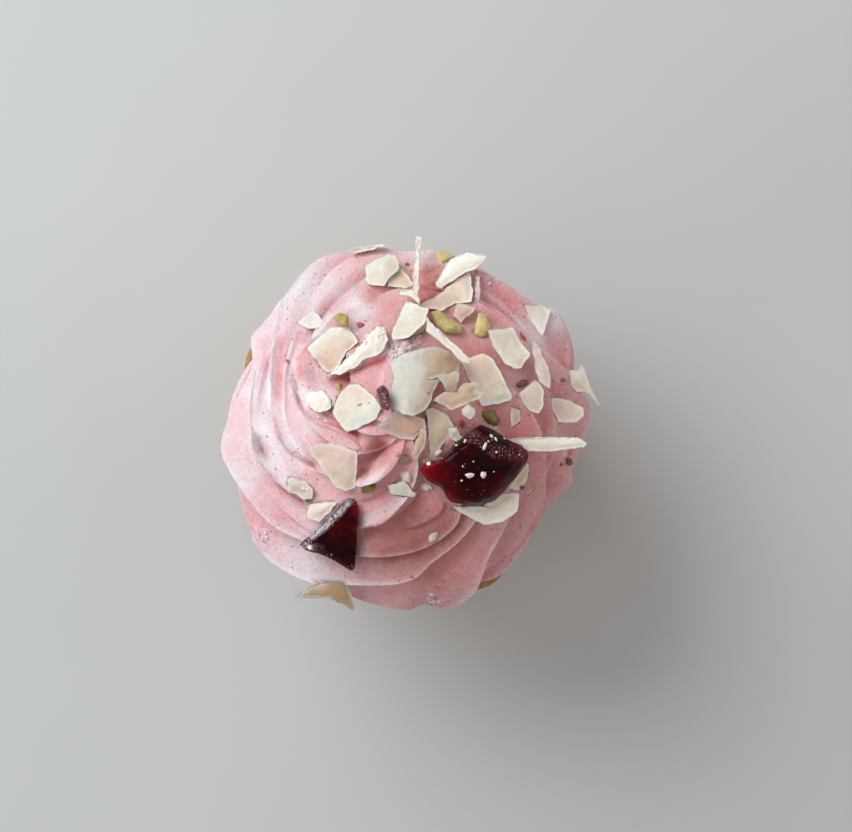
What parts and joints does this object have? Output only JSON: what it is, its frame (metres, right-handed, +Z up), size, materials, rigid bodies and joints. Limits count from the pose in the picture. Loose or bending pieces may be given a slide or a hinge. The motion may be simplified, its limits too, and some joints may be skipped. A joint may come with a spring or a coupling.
{
  "type": "cupcake",
  "caption": "Bare sponge cupcake with a tall piped swirl of pink cream, strewn with coconut chips, dark red fruit jelly and pistachio pieces.",
  "frame": {"origin": "centre of the cake's flat base, which stands on a surface", "axes": "+Z up along the cake's axis; seen from above with +X to the right and +Y up the page, the long thin sliver of coconut points to +Y"},
  "size_m": [0.0748, 0.074, 0.0741],
  "materials": {
    "sponge": "matte, finely open crumb, golden brown",
    "cream": "soft satin, smooth, pale pink with fine dark pink flecks",
    "coconut": "satin, slightly oily, ivory white",
    "jelly": "glossy, dark red, slightly see-through, sugared edge",
    "pistachio": "satin, chopped, yellow-green with dark skin",
    "berry": "satin, dried, dark red"
  },
  "bodies": {
    "root": {"berry_01": "berry", "cake": "sponge", "coconut_01": "coconut", "coconut_02": "coconut", "coconut_03": "coconut", "coconut_04": "coconut", "coconut_05": "coconut", "coconut_06": "coconut", "coconut_07": "coconut", "coconut_08": "coconut", "coconut_09": "coconut", "coconut_10": "coconut", "coconut_11": "coconut", "coconut_12": "coconut", "coconut_13": "coconut", "coconut_14": "coconut", "coconut_15": "coconut", "coconut_16": "coconut", "coconut_17": "coconut", "coconut_18": "coconut", "coconut_19": "coconut", "coconut_20": "coconut", "coconut_21": "coconut", "coconut_22": "coconut", "coconut_23": "coconut", "coconut_24": "coconut", "coconut_25": "coconut", "coconut_26": "coconut", "coconut_27": "coconut", "coconut_28": "coconut", "coconut_29": "coconut", "coconut_30": "coconut", "coconut_31": "coconut", "coconut_32": "coconut", "coconut_33": "coconut", "coconut_34": "coconut", "coconut_35": "coconut", "coconut_36": "coconut", "coconut_39": "coconut", "coconut_40": "coconut", "coconut_42": "coconut", "coconut_43": "coconut", "cream": "cream", "jelly_01": "jelly", "jelly_02": "jelly", "pistachio_01": "pistachio", "pistachio_02": "pistachio", "pistachio_03": "pistachio", "pistachio_04": "pistachio", "pistachio_05": "pistachio", "pistachio_06": "pistachio"}
  },
  "joints": []
}
